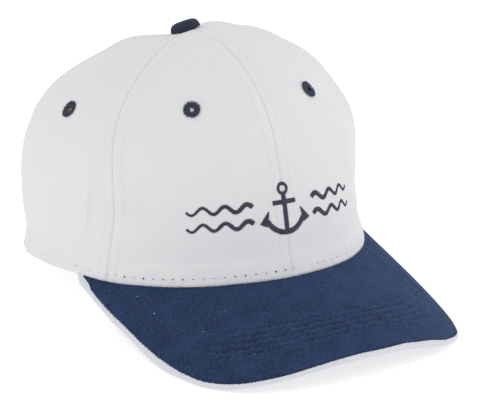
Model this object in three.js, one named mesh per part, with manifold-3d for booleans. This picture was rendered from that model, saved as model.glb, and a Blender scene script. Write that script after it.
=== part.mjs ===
// Skipper cap: a six-panel cloth crown with an eyelet in each panel and a covered button on top,
// a curved peak of two covers with a piping between them, and a sweatband inside the rim.
// Millimetres, +Z up, the peak points to -Y and the wearer's left is +X.
// The shape is worked out about the button's upright axis, and then laid on the ground: it rests on
// the back of the rim and on the two front corners of the peak.
import * as THREE from "three";
import { mergeVertices } from "three/addons/utils/BufferGeometryUtils.js";
import Module from "manifold-3d";

// Cloth and clearances
const panelWall = 1.7; // twill with its backing
const gap = 0.3; // between neighbouring pieces
const bandWall = 1.2;
const bandGap = 0.65; // the band's facets are longer than the panels'
const bandHeight = 30;
const bandLift = 0.6; // the band stops short of the hem

// Crown: one row for each eighth of a turn from the front to the back, the same on both sides.
// reach is the rim's radius, flare the hem's standing out, rise the length of the upright handle
// that leaves the rim, lean how far that handle leans out, shoulder the length of the level handle
// at the button and lift how far its end is raised.
const profileTable = [
  { reach: 99.6, flare: 2.2, rise: 83.6, lean: -3.9, shoulder: 57.1, lift: 1.5 },
  { reach: 90.5, flare: 3.3, rise: 86.9, lean: 4.9, shoulder: 60.4, lift: -0.8 },
  { reach: 86.6, flare: 4.7, rise: 85.3, lean: 15.6, shoulder: 65.9, lift: 0.9 },
  { reach: 91.4, flare: 4.0, rise: 76.7, lean: 19.3, shoulder: 70.2, lift: -0.5 },
  { reach: 100.5, flare: 3.1, rise: 67.8, lean: 16.4, shoulder: 67.5, lift: -3.7 },
];
const poleHeight = 128.3; // the crown's centre above the back of the rim
const poleFall = 0.078; // slope at the button, down towards the back
const poleList = 0.087; // slope at the button, down towards the wearer's right
const poleTiltBack = 0.21; // the cloth close to the button leans further, down to the back
const poleTiltSide = 0.06; // and down to the wearer's right
const poleTiltReach = 14;
const flareReach = 9; // height over which the hem turns out
const hemFadeStart = 5; // degrees past the peak's end, over which the hem's underside turns level
const hemFadeEnd = 22;
const sideHemDip = 0.8; // bow of the hem between the peak's end and the back
const topRise = 0.984; // leaves a hole for the button's post

// Seams: turn from the front in degrees at a few rises, 0 at the rim and 1 at the button.
const seamTable = [
  { rise: 0, front: 0, side: 58.5, rear: 121 },
  { rise: 0.2, front: 0.2, side: 55.8, rear: 120.4 },
  { rise: 0.45, front: 1.2, side: 58, rear: 121.4 },
  { rise: 0.75, front: 0.6, side: 55.4, rear: 121 },
  { rise: 1, front: 0, side: 58, rear: 121 },
];

// Dents and swells of the cloth: place, reach each way, and height (out is positive).
// side is 0 for both sides, -1 for the wearer's right only.
const dentTable = [
  { turn: 65, rise: 0.3, turnReach: 26, riseReach: 0.09, height: 3, side: 0 },
  { turn: 58, rise: 0.13, turnReach: 26, riseReach: 0.05, height: -1.6, side: 0 },
  { turn: 82, rise: 0.7, turnReach: 13, riseReach: 0.16, height: -2, side: 0 },
  { turn: 128, rise: 0.84, turnReach: 16, riseReach: 0.07, height: 2, side: 0 },
  { turn: 140, rise: 0.73, turnReach: 11, riseReach: 0.045, height: -1, side: 0 },
  { turn: 178, rise: 0.87, turnReach: 22, riseReach: 0.07, height: -0.9, side: 0 },
  { turn: 67, rise: 0.15, turnReach: 4.5, riseReach: 0.08, height: 0.7, side: -1 },
];

// Peak: its upper face is one bent sheet, a tilted trough turned upside down.
const peakLength = 67.7; // from the crown to the front edge, in plan
const peakHalfWidth = 86.1;
const peakEndY = -34.1; // where the edge meets the rim
const peakSideRound = 3.19; // how square the outline is
const peakFrontRound = 4.1;
const peakFrontZ = -5.4;
const peakSlope = 0.327; // up towards the crown
const peakBend = 24.8; // drop of the sides
const peakBendMore = 2.3;
const bendWidth = 90; // half width at which those drops are measured
const peakTuck = 3.6; // the sheet reaches this far inside the crown's rim
const coverDepth = 1.1; // upper cover with the board under it
const underDepth = 1.5;
const pipingSeat = 0.8; // the lower cover steps down by this to take the piping's tongue
const tongueDepth = 5;
const tongueClear = 0.6; // from the tongue's inner edge to that step
const tongueThick = 0.5;
const taperStart = 0.86; // the peak thins towards its two ends, where it runs in under the hem
const taperEnd = 0.45;

// Piping between the covers: outline of the roll, out from the covers' edge and down from the top.
const pipingRoll = [
  { out: 0.3, down: 0.75 },
  { out: 0.8, down: 0.55 },
  { out: 1.15, down: 0.95 },
  { out: 1.3, down: 1.6 },
  { out: 1.25, down: 2.3 },
  { out: 1, down: 2.9 },
  { out: 0.6, down: 3.2 },
  { out: 0.3, down: 3.1 },
];

// Eyelets: one in the middle of each panel, worked in thread round a hole.
const eyeletTable = [
  { place: "front", turn: 28.4, rise: 0.469 },
  { place: "side", turn: 82, rise: 0.462 },
  { place: "back", turn: 150, rise: 0.462 },
];
const eyeletCut = 2.5; // radius of the hole in the cloth

// Outline of an eyelet, height above the cloth's outer face: the flange outside, the neck through
// the cloth and the smaller flange inside. The flanges stand clear of the cloth, which is bent.
const eyeletOutline = [
  { radius: 1.4, height: 0.3 },
  { radius: 2.2, height: 1.2 },
  { radius: 3.45, height: 1.2 },
  { radius: 4.35, height: 0.7 },
  { radius: 4.15, height: 0.45 },
  { radius: 2.1, height: 0.45 },
  { radius: 2.1, height: -2.4 },
  { radius: 3.6, height: -2.4 },
  { radius: 3.2, height: -2.85 },
  { radius: 1.4, height: -2.85 },
  { radius: 1.4, height: 0.3 },
];

// Outline of the button, height above the crown's centre: a covered dome, its post through the
// crown and the washer inside that holds it.
const buttonOutline = [
  { radius: 0, height: 6.45 },
  { radius: 3.5, height: 6.15 },
  { radius: 6.1, height: 5 },
  { radius: 7.5, height: 3.2 },
  { radius: 7.8, height: 1.75 },
  { radius: 7.25, height: 0.85 },
  { radius: 1.9, height: 0.85 },
  { radius: 1.9, height: -2.5 },
  { radius: 4.6, height: -2.5 },
  { radius: 4.6, height: -3.3 },
  { radius: 0, height: -3.3 },
];
const buttonTiltBack = 15; // degrees, with the crown's top
const buttonTiltSide = 7.4;

// Resting place
const restTilt = 4.22; // degrees, the front raised
const restLift = 7.25;
const restShift = 31.6;

// Mesh fineness
const panelColumns = 10;
const panelRises = [
  0, 0.012, 0.024, 0.038, 0.056, 0.08, 0.115, 0.16, 0.215, 0.28,
  0.35, 0.43, 0.51, 0.59, 0.67, 0.75, 0.83, 0.91, topRise,
];
const peakStations = 32;
const bandColumns = 56;
const bandRows = 5;
const roundSides = 12; // of the eyelets and their holes
const buttonSides = 16;

const deg = Math.PI / 180;
const eighths = profileTable.length - 1;

// Weights of a smooth even curve through a column's five rows
function seriesOf(column) {
  const weights = [];
  for (let k = 0; k <= eighths; k += 1) {
    let sum = 0;
    profileTable.forEach((row, j) => {
      const end = j === 0 || j === eighths ? 0.5 : 1;
      sum += end * row[column] * Math.cos((k * j * Math.PI) / eighths);
    });
    const end = k === 0 || k === eighths ? 0.5 : 1;
    weights.push((end * sum * 2) / eighths);
  }
  return weights;
}

const series = Object.fromEntries(Object.keys(profileTable[0]).map((name) => [name, seriesOf(name)]));

function around(name, turn) {
  return series[name].reduce((sum, weight, k) => sum + weight * Math.cos(k * turn), 0);
}

// Upper face of the peak, also carried on under the crown
function peakZ(x, y) {
  const across = Math.abs(x) / bendWidth;
  const front = -(around("reach", 0) + peakLength);
  return peakFrontZ - peakBend * across ** 2 - peakBendMore * across ** 4 + peakSlope * (y - front);
}

// Cosine of the peak's steepness, which turns a thickness into a height
function peakLevel(x, y) {
  const step = 0.01;
  const dx = (peakZ(x + step, y) - peakZ(x - step, y)) / (2 * step);
  return 1 / Math.sqrt(1 + dx * dx + peakSlope * peakSlope);
}

function rimRadius(turn) {
  return around("reach", turn) + around("flare", turn);
}

function rimPlan(turn, inset = 0) {
  const radius = rimRadius(turn) - inset;
  return { x: radius * Math.sin(turn), y: -radius * Math.cos(turn) };
}

// Turn at which the rim reaches the peak's end
function findPeakEnd() {
  let low = 40 * deg;
  let high = 90 * deg;
  for (let i = 0; i < 40; i += 1) {
    const middle = (low + high) / 2;
    if (rimPlan(middle).y < peakEndY) {
      low = middle;
    } else {
      high = middle;
    }
  }
  return low;
}

const peakEndTurn = findPeakEnd();

function turnFromFront(turn) {
  const full = 2 * Math.PI;
  return Math.abs(((((turn + Math.PI) % full) + full) % full) - Math.PI);
}

// Height of the hem: on the peak at the front, then an easy curve down to the back
function hemZ(turn) {
  const t = turnFromFront(turn);
  const at = rimPlan(t);
  if (t < peakEndTurn) {
    return peakZ(at.x, at.y);
  }
  const step = 0.02;
  const end = rimPlan(peakEndTurn);
  const before = rimPlan(peakEndTurn - step);
  const endZ = peakZ(end.x, end.y);
  const slope = (endZ - peakZ(before.x, before.y)) / step;
  const span = Math.PI - peakEndTurn;
  const s = (t - peakEndTurn) / span;
  const fall = endZ * (2 * s ** 3 - 3 * s ** 2 + 1);
  const ease = span * slope * 0.5 * (s ** 3 - 2 * s ** 2 + s);
  return fall + ease + sideHemDip * Math.sin(Math.PI * s) ** 2;
}

// Height of the hem's underside at a point inside the rim, so that it lies on the peak
function hemUnderZ(turn, x, y) {
  const t = turnFromFront(turn);
  const pastEnd = (t - peakEndTurn) / deg;
  const fade = 1 - THREE.MathUtils.smoothstep(pastEnd, hemFadeStart, hemFadeEnd);
  const at = rimPlan(t);
  return hemZ(turn) + fade * (peakZ(x, y) - peakZ(at.x, at.y));
}

// Smooth crown: a curve from the rim to the button in each direction
function smoothCrown(turn, rise) {
  const ux = Math.sin(turn);
  const uy = -Math.cos(turn);
  const reach = around("reach", turn);
  const shoulder = around("shoulder", turn);
  const baseZ = hemZ(turn);
  const topZ = poleHeight + (poleList * ux - poleFall * uy) * shoulder + around("lift", turn);
  const b0 = (1 - rise) ** 3;
  const b1 = 3 * rise * (1 - rise) ** 2;
  const b2 = 3 * rise ** 2 * (1 - rise);
  const b3 = rise ** 3;
  const z = b0 * baseZ + b1 * (baseZ + around("rise", turn)) + b2 * topZ + b3 * poleHeight;
  let radius = b0 * reach + b1 * (reach + around("lean", turn)) + b2 * shoulder;
  radius += around("flare", turn) * Math.exp(-(((z - baseZ) / flareReach) ** 2));
  const tilt = (poleTiltSide * ux - poleTiltBack * uy) * radius;
  const nearPole = tilt * rise ** 4 * Math.exp(-((radius / poleTiltReach) ** 2));
  return new THREE.Vector3(radius * ux, radius * uy, z + nearPole);
}

// Outward direction of a surface given as a function of turn and rise
function normalOf(surface, turn, rise) {
  const step = 0.001;
  const along = surface(turn + step, rise).sub(surface(turn - step, rise));
  const up = surface(turn, rise + step).sub(surface(turn, Math.max(rise - step, 0)));
  return along.cross(up).normalize();
}

function dentHeight(turn, rise) {
  const t = turnFromFront(turn) / deg;
  const sideHere = turn < 0 ? -1 : 1;
  return dentTable.reduce((sum, dent) => {
    if (dent.side !== 0 && dent.side !== sideHere) {
      return sum;
    }
    const a = (t - dent.turn) / dent.turnReach;
    const b = (rise - dent.rise) / dent.riseReach;
    return sum + dent.height * Math.exp(-a * a - b * b);
  }, 0);
}

// A point of the cloth, `inward` below its outer face
function crownPoint(turn, rise, inward = 0) {
  const point = smoothCrown(turn, rise);
  return point.addScaledVector(normalOf(smoothCrown, turn, rise), dentHeight(turn, rise) - inward);
}

// Seam turn in radians at a rise, eased between the rows of the table
function seamTurn(name, rise) {
  let next = seamTable.findIndex((row) => row.rise >= rise);
  next = Math.max(next, 1);
  const a = seamTable[next - 1];
  const b = seamTable[next];
  const s = THREE.MathUtils.smoothstep(rise, a.rise, b.rise);
  return (a[name] + (b[name] - a[name]) * s) * deg;
}

// Laying the cap on the ground, where the cloth that touches is pressed flat
const restMatrix = new THREE.Matrix4()
  .makeTranslation(0, restShift, restLift)
  .multiply(new THREE.Matrix4().makeRotationX(-restTilt * deg));

function laidDown(geometry) {
  geometry.applyMatrix4(restMatrix);
  const position = geometry.attributes.position;
  for (let i = 0; i < position.count; i += 1) {
    position.setZ(i, Math.max(position.getZ(i), 0));
  }
  return geometry;
}

function signedVolume(geometry) {
  const position = geometry.attributes.position;
  const index = geometry.index;
  const corners = [new THREE.Vector3(), new THREE.Vector3(), new THREE.Vector3()];
  let volume = 0;
  for (let i = 0; i < index.count; i += 3) {
    corners.forEach((corner, k) => corner.fromBufferAttribute(position, index.getX(i + k)));
    volume += corners[0].dot(corners[1].clone().cross(corners[2])) / 6;
  }
  return volume;
}

function solidFrom(points, triangles) {
  const geometry = new THREE.BufferGeometry();
  const values = points.flatMap((p) => [p.x, p.y, p.z]);
  geometry.setAttribute("position", new THREE.Float32BufferAttribute(values, 3));
  geometry.setIndex(triangles);
  if (signedVolume(geometry) < 0) {
    geometry.setIndex(triangles.slice().reverse());
  }
  return geometry;
}

// Sides of a body swept through rings of equal length; `loop` joins the last ring to the first
function sideTriangles(rings, loop) {
  const size = rings[0].length;
  const triangles = [];
  const spans = loop ? rings.length : rings.length - 1;
  for (let i = 0; i < spans; i += 1) {
    const here = i * size;
    const there = ((i + 1) % rings.length) * size;
    for (let j = 0; j < size; j += 1) {
      const k = (j + 1) % size;
      triangles.push(here + j, there + j, there + k, here + j, there + k, here + k);
    }
  }
  return triangles;
}

// An end cap of any outline, in the ring's own order so that it matches the sides
function endCap(ring, start, atEnd) {
  const along = ring[Math.floor(ring.length / 2)].clone().sub(ring[0]).normalize();
  const across = ring[1].clone().sub(ring[0]).cross(along).cross(along).normalize();
  const flat = ring.map((p) => new THREE.Vector2(p.dot(along), p.dot(across)));
  const ringTurnsLeft = THREE.ShapeUtils.area(flat) > 0;
  return THREE.ShapeUtils.triangulateShape(flat, []).flatMap((triangle) => {
    const turnsLeft = THREE.ShapeUtils.area(triangle.map((i) => flat[i])) > 0;
    const indices = triangle.map((i) => i + start);
    return (turnsLeft === ringTurnsLeft) === atEnd ? indices.reverse() : indices;
  });
}

function sweptBody(rings) {
  const last = rings.length - 1;
  return solidFrom(rings.flat(), [
    ...sideTriangles(rings, false),
    ...endCap(rings[0], 0, false),
    ...endCap(rings[last], last * rings[0].length, true),
  ]);
}

// A wall between an outer and an inner grid, both indexed [column][row]; its ends are strips
function wallBetween(outer, inner, loop = false) {
  const rings = outer.map((column, i) => [...column, ...inner[i].slice().reverse()]);
  const size = rings[0].length;
  const last = (rings.length - 1) * size;
  const triangles = sideTriangles(rings, loop);
  if (!loop) {
    for (let a = 0; a < size / 2 - 1; a += 1) {
      const b = a + 1;
      const c = size - 2 - a;
      const d = size - 1 - a;
      triangles.push(a, b, c, a, c, d);
      triangles.push(last + a, last + c, last + b, last + a, last + d, last + c);
    }
  }
  return solidFrom(rings.flat(), triangles);
}

const wasm = await Module();
wasm.setup();

function toManifold(geometry) {
  const bare = geometry.clone();
  bare.deleteAttribute("normal");
  bare.deleteAttribute("uv");
  const merged = mergeVertices(bare, 1e-5);
  return new wasm.Manifold(new wasm.Mesh({
    numProp: 3,
    vertProperties: new Float32Array(merged.attributes.position.array),
    triVerts: new Uint32Array(merged.index.array),
  }));
}

function fromManifold(solid) {
  const mesh = solid.getMesh();
  const geometry = new THREE.BufferGeometry();
  geometry.setAttribute("position", new THREE.BufferAttribute(new Float32Array(mesh.vertProperties), 3));
  geometry.setIndex(new THREE.BufferAttribute(new Uint32Array(mesh.triVerts), 1));
  return geometry;
}

// Matrix that stands a turned shape (its axis along +Y) on the crown, pointing outwards
function onCrown(turn, rise) {
  const outward = normalOf(crownPoint, turn, rise);
  const standing = new THREE.Quaternion().setFromUnitVectors(new THREE.Vector3(0, 1, 0), outward);
  return new THREE.Matrix4().compose(crownPoint(turn, rise), standing, new THREE.Vector3(1, 1, 1));
}

// A turned solid from its outline, about +Y
function turned(outline, sides) {
  const points = outline.map((row) => new THREE.Vector2(row.radius, row.height));
  const geometry = new THREE.LatheGeometry(points, sides);
  geometry.deleteAttribute("normal");
  geometry.deleteAttribute("uv");
  const merged = mergeVertices(geometry, 1e-4);
  return solidFrom(pointsOf(merged), cleanTriangles(merged));
}

function pointsOf(geometry) {
  const position = geometry.attributes.position;
  const pointAt = (_, i) => new THREE.Vector3().fromBufferAttribute(position, i);
  return Array.from({ length: position.count }, pointAt);
}

// Triangles with two equal corners lie at a pole and are dropped
function cleanTriangles(geometry) {
  const kept = [];
  for (let i = 0; i < geometry.index.count; i += 3) {
    const [a, b, c] = [0, 1, 2].map((k) => geometry.index.getX(i + k));
    if (a !== b && b !== c && c !== a) {
      kept.push(a, b, c);
    }
  }
  return kept;
}

// One panel between two seams, with the eyelet's hole cut through
function panelGeometry(fromSeam, toSeam, eyelet) {
  const grid = (inward) => {
    const columns = [];
    for (let i = 0; i <= panelColumns; i += 1) {
      columns.push(panelRises.map((rise) => {
        const start = fromSeam(rise);
        const end = toSeam(rise);
        const middle = smoothCrown((start + end) / 2, rise);
        const clear = gap / 2 / Math.hypot(middle.x, middle.y);
        const turn = start + clear + (end - start - 2 * clear) * (i / panelColumns);
        const point = crownPoint(turn, rise, inward);
        if (rise === 0) {
          point.z = hemUnderZ(turn, point.x, point.y);
        }
        return point;
      }));
    }
    return columns;
  };
  const wall = wallBetween(grid(0), grid(panelWall));
  const hole = new THREE.CylinderGeometry(eyeletCut, eyeletCut, 4 * panelWall, roundSides);
  hole.applyMatrix4(onCrown(eyelet.turn, eyelet.rise));
  return fromManifold(toManifold(wall).subtract(toManifold(hole)));
}

function eyeletGeometry(eyelet) {
  return turned(eyeletOutline, roundSides).applyMatrix4(onCrown(eyelet.turn, eyelet.rise));
}

function buttonGeometry() {
  return turned(buttonOutline, buttonSides)
    .applyMatrix4(new THREE.Matrix4().makeRotationX((90 - buttonTiltBack) * deg))
    .applyMatrix4(new THREE.Matrix4().makeRotationY(-buttonTiltSide * deg))
    .applyMatrix4(new THREE.Matrix4().makeTranslation(0, 0, poleHeight));
}

// Edge of the covers in plan, u from -1 at the wearer's right to 1 at the left
function peakEdge(u) {
  const bearing = (u * Math.PI) / 2;
  const side = Math.abs(Math.sin(bearing)) ** (2 / peakSideRound);
  const depth = around("reach", 0) + peakLength + peakEndY;
  const front = Math.abs(Math.cos(bearing)) ** (2 / peakFrontRound);
  return new THREE.Vector2(Math.sign(u) * peakHalfWidth * side, peakEndY - depth * front);
}

function peakEdgeOut(u) {
  if (Math.abs(u) === 1) {
    return new THREE.Vector2(u, 0);
  }
  const step = 0.002;
  const along = peakEdge(u + step).sub(peakEdge(u - step));
  return new THREE.Vector2(along.y, -along.x).normalize();
}

// Inner end of the line across the peak at u, just inside the crown's rim
function peakRoot(u) {
  const at = rimPlan(u * peakEndTurn, peakTuck);
  return new THREE.Vector2(at.x, at.y);
}

function taperAt(u) {
  return 1 - (1 - taperEnd) * THREE.MathUtils.smoothstep(Math.abs(u), taperStart, 1);
}

// Depths of the peak's layers below its upper face
function layersAt(u) {
  const taper = taperAt(u);
  const coverBottom = gap + coverDepth * taper;
  const underTop = coverBottom + gap;
  const seatTop = underTop + pipingSeat * taper;
  const tongueTop = (coverBottom + seatTop - tongueThick * taper) / 2;
  return {
    coverTop: gap,
    coverBottom,
    underTop,
    seatTop,
    underBottom: underTop + underDepth * taper,
    tongueTop,
    tongueBottom: tongueTop + tongueThick * taper,
  };
}

// A point `down` below the peak's upper face
function onPeak(plan, down) {
  return new THREE.Vector3(plan.x, plan.y, peakZ(plan.x, plan.y) - down / peakLevel(plan.x, plan.y));
}

const stationValues = Array.from({ length: peakStations + 1 }, (_, i) => (2 * i) / peakStations - 1);

// How deep the piping's tongue reaches between the covers at u
function tongueAt(u) {
  return Math.min(tongueDepth, 0.45 * peakEdge(u).distanceTo(peakRoot(u)));
}

// A cover of the peak; each row gives its place across and its upper and lower depths
function coverGeometry(rowsAt) {
  const columns = stationValues.map((u) => rowsAt(u).map((row) => {
    const plan = peakRoot(u).lerp(peakEdge(u), row.across);
    return { top: onPeak(plan, row.top), bottom: onPeak(plan, row.bottom) };
  }));
  return wallBetween(
    columns.map((column) => column.map((row) => row.top)),
    columns.map((column) => column.map((row) => row.bottom)),
  );
}

function peakTopGeometry() {
  return coverGeometry((u) => [0, 0.25, 0.5, 0.75, 1].map((across) => (
    { across, top: layersAt(u).coverTop, bottom: layersAt(u).coverBottom }
  )));
}

// The lower cover steps down near its edge, where the tongue lies
function peakUnderGeometry() {
  return coverGeometry((u) => {
    const { underTop: top, seatTop, underBottom: bottom } = layersAt(u);
    const length = peakEdge(u).distanceTo(peakRoot(u));
    const step = 1 - (tongueAt(u) + tongueClear) / length;
    return [
      { across: 0, top, bottom },
      { across: step * 0.33, top, bottom },
      { across: step * 0.66, top, bottom },
      { across: step - 0.02, top, bottom },
      { across: step, top: seatTop, bottom },
      { across: 1, top: seatTop, bottom },
    ];
  });
}

// Piping: a roll outside the covers' edge, and a tongue between them
function pipingGeometry() {
  const rollDepth = layersAt(0).underBottom;
  const rings = stationValues.map((u) => {
    const { tongueTop, tongueBottom, underBottom } = layersAt(u);
    const edge = peakEdge(u);
    const out = peakEdgeOut(u);
    const inner = edge.clone().lerp(peakRoot(u), tongueAt(u) / edge.distanceTo(peakRoot(u)));
    const outBy = (distance) => edge.clone().addScaledVector(out, gap + (distance - gap) * taperAt(u));
    const roll = pipingRoll.map((row) => onPeak(outBy(row.out), (row.down * underBottom) / rollDepth));
    const neck = outBy(pipingRoll[0].out);
    return [
      ...roll,
      onPeak(neck, tongueBottom),
      onPeak(inner, tongueBottom),
      onPeak(inner, tongueTop),
      onPeak(neck, tongueTop),
    ];
  });
  return sweptBody(rings);
}

// Sweatband: a loop just inside the panels, from the hem upwards
function sweatbandGeometry() {
  const riseAt = (turn, height) => {
    let rise = 0;
    while (smoothCrown(turn, rise).z - hemZ(turn) < height) {
      rise += 0.001;
    }
    return rise;
  };
  const grid = (inward) => Array.from({ length: bandColumns }, (_, i) => {
    const turn = ((i + 0.5) / bandColumns) * 2 * Math.PI - Math.PI;
    return Array.from({ length: bandRows + 1 }, (_unused, j) => {
      const height = bandHeight * (j / bandRows) ** 1.4;
      const point = crownPoint(turn, riseAt(turn, height), inward);
      if (j === 0) {
        point.z = hemUnderZ(turn, point.x, point.y) + bandLift;
      }
      return point;
    });
  });
  const outside = panelWall + bandGap;
  return wallBetween(grid(outside), grid(outside + bandWall), true);
}

const whiteTwill = { color: 0xe1e1e6, roughness: 0.9, metalness: 0 };
const navyTwill = { color: 0x2b3a57, roughness: 0.88, metalness: 0 };
const navyThread = { color: 0x262c3f, roughness: 0.75, metalness: 0 };
const pipingCloth = { color: 0xd8dade, roughness: 0.9, metalness: 0 };
const bandCloth = { color: 0xe6e6e6, roughness: 0.92, metalness: 0 };

const cap = new THREE.Group();

function addPiece(name, geometry, finish) {
  const mesh = new THREE.Mesh(laidDown(geometry), new THREE.MeshStandardMaterial(finish));
  mesh.name = name;
  cap.add(mesh);
}

// Panels run from one seam to the next, on each side of the middle
const seams = {
  front: (rise) => seamTurn("front", rise),
  side: (rise) => seamTurn("side", rise),
  rear: (rise) => seamTurn("rear", rise),
  back: () => Math.PI,
};
const panelTable = [
  { place: "front", from: "front", to: "side" },
  { place: "side", from: "side", to: "rear" },
  { place: "back", from: "rear", to: "back" },
];

for (const hand of ["right", "left"]) {
  const sign = hand === "right" ? -1 : 1;
  const seamOn = (name) => (name === "front" ? seams.front : (rise) => sign * seams[name](rise));
  panelTable.forEach((panel) => {
    const row = eyeletTable.find((eyelet) => eyelet.place === panel.place);
    const eyelet = { turn: sign * row.turn * deg, rise: row.rise };
    const edges = [seamOn(panel.from), seamOn(panel.to)];
    if (sign < 0) {
      edges.reverse();
    }
    addPiece(`${panel.place}_panel_${hand}`, panelGeometry(edges[0], edges[1], eyelet), whiteTwill);
    addPiece(`${panel.place}_eyelet_${hand}`, eyeletGeometry(eyelet), navyThread);
  });
}

addPiece("top_button", buttonGeometry(), navyThread);
addPiece("peak_top", peakTopGeometry(), navyTwill);
addPiece("peak_piping", pipingGeometry(), pipingCloth);
addPiece("peak_underside", peakUnderGeometry(), navyTwill);
addPiece("sweatband", sweatbandGeometry(), bandCloth);

export default cap;
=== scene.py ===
import bpy
import math
import random
import numpy as np
from mathutils import Matrix, Vector


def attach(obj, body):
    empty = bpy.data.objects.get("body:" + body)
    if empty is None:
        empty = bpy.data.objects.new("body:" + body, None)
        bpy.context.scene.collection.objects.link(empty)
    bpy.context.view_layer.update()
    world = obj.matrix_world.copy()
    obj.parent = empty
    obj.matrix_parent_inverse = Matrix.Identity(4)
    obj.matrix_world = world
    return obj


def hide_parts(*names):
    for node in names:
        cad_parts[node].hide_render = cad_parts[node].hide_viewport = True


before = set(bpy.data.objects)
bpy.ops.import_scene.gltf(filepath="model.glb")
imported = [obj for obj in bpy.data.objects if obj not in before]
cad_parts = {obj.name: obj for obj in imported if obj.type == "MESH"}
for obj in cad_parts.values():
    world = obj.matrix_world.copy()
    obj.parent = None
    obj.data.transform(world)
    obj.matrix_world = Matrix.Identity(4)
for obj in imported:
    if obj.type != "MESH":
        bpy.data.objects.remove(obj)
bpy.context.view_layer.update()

mm = 0.001
deg = math.pi / 180
fullTurn = 2 * math.pi

# The cap's form in its own upright frame, in mm: the button's axis is x = y = 0, the peak is at -Y
# and the wearer's left at +X. Rows go from the front to the back in steps of 45 degrees.
capForm = {
    "reach": (99.6, 90.5, 86.6, 91.4, 100.5),  # radius of the rim
    "flare": (2.2, 3.3, 4.7, 4.0, 3.1),  # how far the hem stands out
    "rise": (83.6, 86.9, 85.3, 76.7, 67.8),  # upright handle at the rim
    "lean": (-3.9, 4.9, 15.6, 19.3, 16.4),
    "shoulder": (57.1, 60.4, 65.9, 70.2, 67.5),  # level handle at the button
    "lift": (1.5, -0.8, 0.9, -0.5, -3.7),
}
poleForm = {
    "height": 128.3,
    "fall": 0.078,  # slope at the button, towards the back
    "list": 0.087,  # and towards the wearer's right
    "tiltBack": 0.21,  # the cloth close to the button leans further
    "tiltSide": 0.1,
    "tiltReach": 14,
    "topRise": 0.984,  # leaves a hole for the button's post
}
hemForm = {
    "flareReach": 9,
    "sideDip": 0.8,
    "fadeStart": 5,  # degrees past the peak's end
    "fadeEnd": 22,
}
peakForm = {
    "length": 67.7,
    "halfWidth": 86.1,
    "endY": -34.1,
    "sideRound": 3.19,
    "frontRound": 4.1,
    "frontZ": -5.4,
    "slope": 0.327,
    "bend": 24.8,
    "bendMore": 2.3,
    "bendWidth": 90,
    "tuck": 3.6,
}
restForm = {"tilt": 4.22, "lift": 7.25, "shift": 31.6}  # how the cap lies on the floor

# place in degrees and rise, reach each way, and height in mm
dents = (
    {"turn": 65, "rise": 0.3, "turnReach": 26, "riseReach": 0.09, "height": 3},
    {"turn": 58, "rise": 0.13, "turnReach": 26, "riseReach": 0.05, "height": -1.6},
    {"turn": 82, "rise": 0.7, "turnReach": 13, "riseReach": 0.16, "height": -2},
    {"turn": 128, "rise": 0.84, "turnReach": 16, "riseReach": 0.07, "height": 2},
    {"turn": 140, "rise": 0.73, "turnReach": 11, "riseReach": 0.045, "height": -1},
    {"turn": 178, "rise": 0.87, "turnReach": 22, "riseReach": 0.07, "height": -0.9},
)
seamRows = {  # turn of each seam in degrees at these rises
    "rise": (0, 0.2, 0.45, 0.75, 1),
    "front": (0, 0.2, 1.2, 0.6, 0),
    "side": (58.5, 55.8, 58, 55.4, 58),
    "rear": (121, 120.4, 121.4, 121, 121),
    "back": (180, 180, 180, 180, 180),
}


def smoothstep(x, low, high):
    s = np.clip((x - low) / (high - low), 0, 1)
    return s * s * (3 - 2 * s)


def eased(x, places, values):  # an even curve through the values at these places
    total = np.full(np.shape(x), float(values[0]))
    for j in range(len(places) - 1):
        total = total + (values[j + 1] - values[j]) * smoothstep(x, places[j], places[j + 1])
    return total


def bell(x, width):
    return np.exp(-((x / width) ** 2))


def between(x, rise, fall):  # 1 between two ramps, each given by its ends
    return smoothstep(x, *rise) * (1 - smoothstep(x, *fall))


def unit(vectors):
    return vectors / np.linalg.norm(vectors, axis=-1, keepdims=True)


def unevenness(a, b, seed):  # smooth wandering waves, about -1 to 1
    draw = random.Random(seed)
    total = 0
    for k in range(7):
        bearing = draw.uniform(0, fullTurn)
        pace = draw.uniform(0.5, 1.5)
        along = a * math.cos(bearing) + b * math.sin(bearing)
        total = total + np.sin(pace * along + draw.uniform(0, fullTurn))
    return total / 3


def around(name, turn):  # smooth even curve through a form's five rows
    rows = capForm[name]
    last = len(rows) - 1
    ends = (0, last)
    total = 0
    for k in range(last + 1):
        weight = sum(
            rows[j] * math.cos(k * j * math.pi / last) * (0.5 if j in ends else 1)
            for j in range(last + 1)
        )
        total = total + weight * (1 if k in ends else 2) / last * np.cos(k * turn)
    return total


def peakZ(x, y):
    across = np.abs(x) / peakForm["bendWidth"]
    front = -(capForm["reach"][0] + peakForm["length"])
    drop = peakForm["bend"] * across**2 + peakForm["bendMore"] * across**4
    return peakForm["frontZ"] - drop + peakForm["slope"] * (y - front)


def peakLevel(x, y):  # cosine of the peak's steepness
    step = 0.01
    dx = (peakZ(x + step, y) - peakZ(x - step, y)) / (2 * step)
    return 1 / np.sqrt(1 + dx**2 + peakForm["slope"] ** 2)


def rimPlan(turn, inset=0):
    radius = around("reach", turn) + around("flare", turn) - inset
    return radius * np.sin(turn), -radius * np.cos(turn)


def findPeakEnd():
    low, high = 40 * deg, 90 * deg
    for i in range(40):
        middle = (low + high) / 2
        if rimPlan(middle)[1] < peakForm["endY"]:
            low = middle
        else:
            high = middle
    return low


peakEndTurn = findPeakEnd()


def fromFront(turn):
    return np.abs((np.asarray(turn) + math.pi) % fullTurn - math.pi)


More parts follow.
